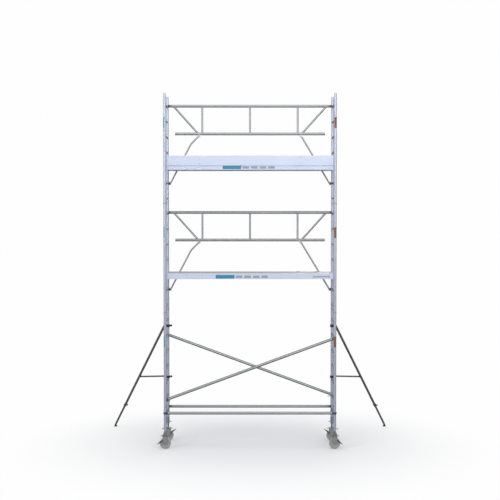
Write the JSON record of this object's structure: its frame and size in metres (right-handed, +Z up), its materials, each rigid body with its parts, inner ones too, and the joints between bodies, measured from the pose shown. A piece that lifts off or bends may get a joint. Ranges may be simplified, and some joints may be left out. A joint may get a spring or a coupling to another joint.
{
  "type": "mobile tower scaffold",
  "caption": "Rolling aluminium tower scaffold for work along a wall, with two decked platforms, rear guardrails, toe boards, braces, levelling castors and telescopic stabilisers.",
  "frame": {"origin": "on the floor, midway between the four castors", "axes": "+Z up, +X along the bay to the right, +Y from the front to the guardrail side"},
  "size_m": [5.399, 2.1352, 6.38],
  "materials": {
    "frame_aluminium": "satin anodised",
    "brace_aluminium": "satin mill finish",
    "beam_aluminium": "satin anodised extrusion",
    "plywood": "film faced, slip resistant",
    "zinc_steel": "zinc plated",
    "spring_steel": "plated spring wire",
    "grey_rubber": "matt grey rubber on a grey core",
    "dark_pedal": "dark grey paint",
    "black_clamp": "black powder coat",
    "foot_rubber": "dark red brown rubber"
  },
  "bodies": {
    "tower": {"side_frame_left_lower": "frame_aluminium", "side_frame_left_middle": "frame_aluminium", "side_frame_left_upper": "frame_aluminium", "side_frame_right_lower": "frame_aluminium", "side_frame_right_middle": "frame_aluminium", "side_frame_right_upper": "frame_aluminium", "frame_locking_clips": "spring_steel", "horizontal_brace_front": "brace_aluminium", "horizontal_brace_rear": "brace_aluminium", "diagonal_brace_front": "brace_aluminium", "diagonal_brace_rear": "brace_aluminium", "guardrail_lower": "brace_aluminium", "guardrail_upper": "brace_aluminium", "platform_frame_lower": "beam_aluminium", "platform_frame_upper": "beam_aluminium", "deck_lower": "plywood", "deck_upper": "plywood", "toe_boards": "beam_aluminium"},
    "brace_catches_left": {"brace_catches_left": "zinc_steel"},
    "guardrail_catches_left": {"guardrail_catches_left": "zinc_steel"},
    "brace_catches_right": {"brace_catches_right": "zinc_steel"},
    "guardrail_catches_right": {"guardrail_catches_right": "zinc_steel"},
    "trapdoor_lower": {"trapdoor_lower": "plywood"},
    "wind_latch_lower": {"wind_latch_lower": "zinc_steel"},
    "trapdoor_upper": {"trapdoor_upper": "plywood"},
    "wind_latch_upper": {"wind_latch_upper": "zinc_steel"},
    "levelling_nut_front_left": {"levelling_nut_front_left": "zinc_steel"},
    "spindle_front_left": {"castor_spindle_front_left": "zinc_steel"},
    "fork_front_left": {"castor_fork_front_left": "zinc_steel"},
    "wheel_front_left": {"castor_wheel_front_left": "grey_rubber"},
    "brake_pedal_front_left": {"brake_pedal_front_left": "dark_pedal"},
    "swivel_lock_front_left": {"swivel_lock_front_left": "dark_pedal"},
    "levelling_nut_front_right": {"levelling_nut_front_right": "zinc_steel"},
    "spindle_front_right": {"castor_spindle_front_right": "zinc_steel"},
    "fork_front_right": {"castor_fork_front_right": "zinc_steel"},
    "wheel_front_right": {"castor_wheel_front_right": "grey_rubber"},
    "brake_pedal_front_right": {"brake_pedal_front_right": "dark_pedal"},
    "swivel_lock_front_right": {"swivel_lock_front_right": "dark_pedal"},
    "levelling_nut_rear_left": {"levelling_nut_rear_left": "zinc_steel"},
    "spindle_rear_left": {"castor_spindle_rear_left": "zinc_steel"},
    "fork_rear_left": {"castor_fork_rear_left": "zinc_steel"},
    "wheel_rear_left": {"castor_wheel_rear_left": "grey_rubber"},
    "brake_pedal_rear_left": {"brake_pedal_rear_left": "dark_pedal"},
    "swivel_lock_rear_left": {"swivel_lock_rear_left": "dark_pedal"},
    "levelling_nut_rear_right": {"levelling_nut_rear_right": "zinc_steel"},
    "spindle_rear_right": {"castor_spindle_rear_right": "zinc_steel"},
    "fork_rear_right": {"castor_fork_rear_right": "zinc_steel"},
    "wheel_rear_right": {"castor_wheel_rear_right": "grey_rubber"},
    "brake_pedal_rear_right": {"brake_pedal_rear_right": "dark_pedal"},
    "swivel_lock_rear_right": {"swivel_lock_rear_right": "dark_pedal"},
    "stabiliser_left": {"stabiliser_clamps_left": "black_clamp", "stabiliser_tube_left": "brace_aluminium", "stabiliser_arm_left": "brace_aluminium"},
    "stabiliser_leg_left": {"stabiliser_leg_left": "brace_aluminium"},
    "stabiliser_foot_left": {"stabiliser_foot_left": "foot_rubber"},
    "stabiliser_right": {"stabiliser_clamps_right": "black_clamp", "stabiliser_tube_right": "brace_aluminium", "stabiliser_arm_right": "brace_aluminium"},
    "stabiliser_leg_right": {"stabiliser_leg_right": "brace_aluminium"},
    "stabiliser_foot_right": {"stabiliser_foot_right": "foot_rubber"}
  },
  "joints": [
    {"name": "brace_catches_left_slide", "type": "slide", "parent": "tower", "child": "brace_catches_left", "axis": [1, 0, 0], "range_m": [0, 0.03], "stiffness_N_per_m": 600, "springref_m": -0.02},
    {"name": "guardrail_catches_left_slide", "type": "slide", "parent": "tower", "child": "guardrail_catches_left", "axis": [1, 0, 0], "range_m": [0, 0.03], "stiffness_N_per_m": 600, "springref_m": -0.02},
    {"name": "brace_catches_right_slide", "type": "slide", "parent": "tower", "child": "brace_catches_right", "axis": [-1, 0, 0], "range_m": [0, 0.03], "stiffness_N_per_m": 600, "springref_m": -0.02},
    {"name": "guardrail_catches_right_slide", "type": "slide", "parent": "tower", "child": "guardrail_catches_right", "axis": [-1, 0, 0], "range_m": [0, 0.03], "stiffness_N_per_m": 600, "springref_m": -0.02},
    {"name": "trapdoor_lower_hinge", "type": "hinge", "parent": "tower", "child": "trapdoor_lower", "pos_m": [1.0661, 0.238, 3.164], "axis": [-1, 0, 0], "range_deg": [0, 95]},
    {"name": "wind_latch_lower_turn", "type": "hinge", "parent": "tower", "child": "wind_latch_lower", "pos_m": [-1.4641, 0, 3.076], "axis": [0, -1, 0], "range_deg": [0, 70]},
    {"name": "trapdoor_upper_hinge", "type": "hinge", "parent": "tower", "child": "trapdoor_upper", "pos_m": [1.0661, 0.238, 5.124], "axis": [-1, 0, 0], "range_deg": [0, 95]},
    {"name": "wind_latch_upper_turn", "type": "hinge", "parent": "tower", "child": "wind_latch_upper", "pos_m": [-1.4641, 0, 5.036], "axis": [0, -1, 0], "range_deg": [0, 70]},
    {"name": "levelling_nut_front_left_turn", "type": "hinge", "parent": "tower", "child": "levelling_nut_front_left", "pos_m": [-1.525, -0.35, 0.45], "axis": [0, 0, 1], "range_deg": [-8150, 2950]},
    {"name": "spindle_front_left_rise", "type": "slide", "parent": "tower", "child": "spindle_front_left", "axis": [0, 0, 1], "range_m": [-0.18, 0.065]},
    {"name": "fork_front_left_swivel", "type": "hinge", "parent": "spindle_front_left", "child": "fork_front_left", "pos_m": [-1.525, -0.35, 0.226], "axis": [0, 0, 1], "continuous": true},
    {"name": "wheel_front_left_roll", "type": "hinge", "parent": "fork_front_left", "child": "wheel_front_left", "pos_m": [-1.525, -0.35, 0.1], "axis": [0, 1, 0], "continuous": true},
    {"name": "brake_pedal_front_left_press", "type": "hinge", "parent": "fork_front_left", "child": "brake_pedal_front_left", "pos_m": [-1.575, -0.35, 0.15], "axis": [0, 1, 0], "range_deg": [0, 72]},
    {"name": "swivel_lock_front_left_press", "type": "hinge", "parent": "fork_front_left", "child": "swivel_lock_front_left", "pos_m": [-1.569, -0.35, 0.238], "axis": [0, 1, 0], "range_deg": [-12, 18]},
    {"name": "levelling_nut_front_right_turn", "type": "hinge", "parent": "tower", "child": "levelling_nut_front_right", "pos_m": [1.525, -0.35, 0.45], "axis": [0, 0, 1], "range_deg": [-8150, 2950]},
    {"name": "spindle_front_right_rise", "type": "slide", "parent": "tower", "child": "spindle_front_right", "axis": [0, 0, 1], "range_m": [-0.18, 0.065]},
    {"name": "fork_front_right_swivel", "type": "hinge", "parent": "spindle_front_right", "child": "fork_front_right", "pos_m": [1.525, -0.35, 0.226], "axis": [0, 0, 1], "continuous": true},
    {"name": "wheel_front_right_roll", "type": "hinge", "parent": "fork_front_right", "child": "wheel_front_right", "pos_m": [1.525, -0.35, 0.1], "axis": [0, 1, 0], "continuous": true},
    {"name": "brake_pedal_front_right_press", "type": "hinge", "parent": "fork_front_right", "child": "brake_pedal_front_right", "pos_m": [1.575, -0.35, 0.15], "axis": [0, -1, 0], "range_deg": [0, 72]},
    {"name": "swivel_lock_front_right_press", "type": "hinge", "parent": "fork_front_right", "child": "swivel_lock_front_right", "pos_m": [1.569, -0.35, 0.238], "axis": [0, -1, 0], "range_deg": [-12, 18]},
    {"name": "levelling_nut_rear_left_turn", "type": "hinge", "parent": "tower", "child": "levelling_nut_rear_left", "pos_m": [-1.525, 0.35, 0.45], "axis": [0, 0, 1], "range_deg": [-8150, 2950]},
    {"name": "spindle_rear_left_rise", "type": "slide", "parent": "tower", "child": "spindle_rear_left", "axis": [0, 0, 1], "range_m": [-0.18, 0.065]},
    {"name": "fork_rear_left_swivel", "type": "hinge", "parent": "spindle_rear_left", "child": "fork_rear_left", "pos_m": [-1.525, 0.35, 0.226], "axis": [0, 0, 1], "continuous": true},
    {"name": "wheel_rear_left_roll", "type": "hinge", "parent": "fork_rear_left", "child": "wheel_rear_left", "pos_m": [-1.525, 0.35, 0.1], "axis": [0, 1, 0], "continuous": true},
    {"name": "brake_pedal_rear_left_press", "type": "hinge", "parent": "fork_rear_left", "child": "brake_pedal_rear_left", "pos_m": [-1.475, 0.35, 0.15], "axis": [0, -1, 0], "range_deg": [-72, 0]},
    {"name": "swivel_lock_rear_left_press", "type": "hinge", "parent": "fork_rear_left", "child": "swivel_lock_rear_left", "pos_m": [-1.481, 0.35, 0.238], "axis": [0, -1, 0], "range_deg": [-12, 18]},
    {"name": "levelling_nut_rear_right_turn", "type": "hinge", "parent": "tower", "child": "levelling_nut_rear_right", "pos_m": [1.525, 0.35, 0.45], "axis": [0, 0, 1], "range_deg": [-8150, 2950]},
    {"name": "spindle_rear_right_rise", "type": "slide", "parent": "tower", "child": "spindle_rear_right", "axis": [0, 0, 1], "range_m": [-0.18, 0.065]},
    {"name": "fork_rear_right_swivel", "type": "hinge", "parent": "spindle_rear_right", "child": "fork_rear_right", "pos_m": [1.525, 0.35, 0.226], "axis": [0, 0, 1], "continuous": true},
    {"name": "wheel_rear_right_roll", "type": "hinge", "parent": "fork_rear_right", "child": "wheel_rear_right", "pos_m": [1.525, 0.35, 0.1], "axis": [0, 1, 0], "continuous": true},
    {"name": "brake_pedal_rear_right_press", "type": "hinge", "parent": "fork_rear_right", "child": "brake_pedal_rear_right", "pos_m": [1.475, 0.35, 0.15], "axis": [0, 1, 0], "range_deg": [-72, 0]},
    {"name": "swivel_lock_rear_right_press", "type": "hinge", "parent": "fork_rear_right", "child": "swivel_lock_rear_right", "pos_m": [1.481, 0.35, 0.238], "axis": [0, 1, 0], "range_deg": [-12, 18]},
    {"name": "stabiliser_left_swing", "type": "hinge", "parent": "tower", "child": "stabiliser_left", "pos_m": [-1.525, 0.35, 2.149], "axis": [0, 0, 1], "range_deg": [-40, 40]},
    {"name": "stabiliser_left_extend", "type": "slide", "parent": "stabiliser_left", "child": "stabiliser_leg_left", "axis": [-0.4001, 0.4768, -0.7827], "range_m": [-0.3, 0.15]},
    {"name": "stabiliser_foot_left_tilt", "type": "hinge", "parent": "stabiliser_leg_left", "child": "stabiliser_foot_left", "pos_m": [-2.66955, 1.71402, 0.042], "axis": [0.766, 0.6428, 0], "range_deg": [-25, 25]},
    {"name": "stabiliser_right_swing", "type": "hinge", "parent": "tower", "child": "stabiliser_right", "pos_m": [1.525, 0.35, 2.149], "axis": [0, 0, 1], "range_deg": [-40, 40]},
    {"name": "stabiliser_right_extend", "type": "slide", "parent": "stabiliser_right", "child": "stabiliser_leg_right", "axis": [0.4001, 0.4768, -0.7827], "range_m": [-0.3, 0.15]},
    {"name": "stabiliser_foot_right_tilt", "type": "hinge", "parent": "stabiliser_leg_right", "child": "stabiliser_foot_right", "pos_m": [2.66955, 1.71402, 0.042], "axis": [0.766, -0.6428, 0], "range_deg": [-25, 25]}
  ],
  "couplings": [
    {"joint": "levelling_nut_front_left_turn", "follows": "spindle_front_left_rise", "rad_per_m": 785.4},
    {"joint": "levelling_nut_front_right_turn", "follows": "spindle_front_right_rise", "rad_per_m": 785.4},
    {"joint": "levelling_nut_rear_left_turn", "follows": "spindle_rear_left_rise", "rad_per_m": 785.4},
    {"joint": "levelling_nut_rear_right_turn", "follows": "spindle_rear_right_rise", "rad_per_m": 785.4}
  ]
}
